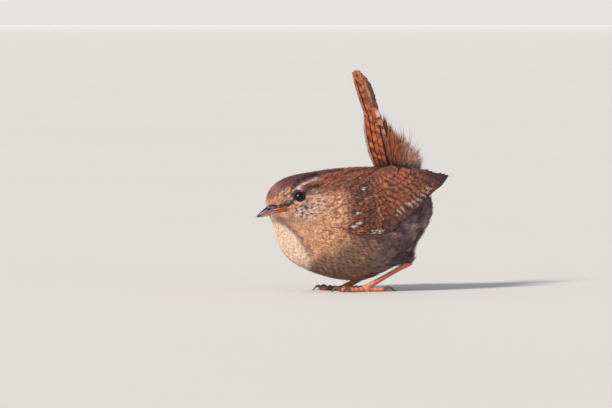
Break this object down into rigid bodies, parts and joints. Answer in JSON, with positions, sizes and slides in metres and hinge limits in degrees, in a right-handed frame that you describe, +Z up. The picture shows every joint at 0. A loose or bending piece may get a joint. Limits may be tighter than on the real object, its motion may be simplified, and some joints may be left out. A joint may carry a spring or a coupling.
{
  "type": "wren",
  "caption": "Life-size still wren that stands crouched, with a fine pointed bill, folded wings in tiers of feathers and a short tail cocked upright.",
  "frame": {"origin": "middle of the bird's box, on the floor under its feet", "axes": "+Z up; the bird faces -X, and its left side is -Y"},
  "size_m": [0.069, 0.0382, 0.0789],
  "materials": {
    "plumage": "soft body feathers, rufous brown above and buff on the breast",
    "flight_feathers": "smooth vanes, rufous brown with fine dark bars",
    "down": "loose soft feathers, pinkish buff with dark and white tips",
    "bill_upper": "satin dark horn",
    "bill_lower": "satin pinkish horn",
    "eye": "wet near-black",
    "leg_skin": "scaly flesh-coloured skin",
    "claw": "satin dark horn"
  },
  "bodies": {
    "root": {"bill_lower": "bill_lower", "bill_upper": "bill_upper", "claw_hind_left": "claw", "claw_hind_right": "claw", "claw_inner_left": "claw", "claw_inner_right": "claw", "claw_middle_left": "claw", "claw_middle_right": "claw", "claw_outer_left": "claw", "claw_outer_right": "claw", "eye_left": "eye", "eye_right": "eye", "foot_left": "leg_skin", "foot_right": "leg_skin", "head": "plumage", "neck": "plumage", "shank_left": "leg_skin", "shank_right": "leg_skin", "tail": "flight_feathers", "thigh_left": "plumage", "thigh_right": "plumage", "torso": "plumage", "undertail_coverts": "down", "wing_left": "flight_feathers", "wing_right": "flight_feathers"}
  },
  "joints": []
}
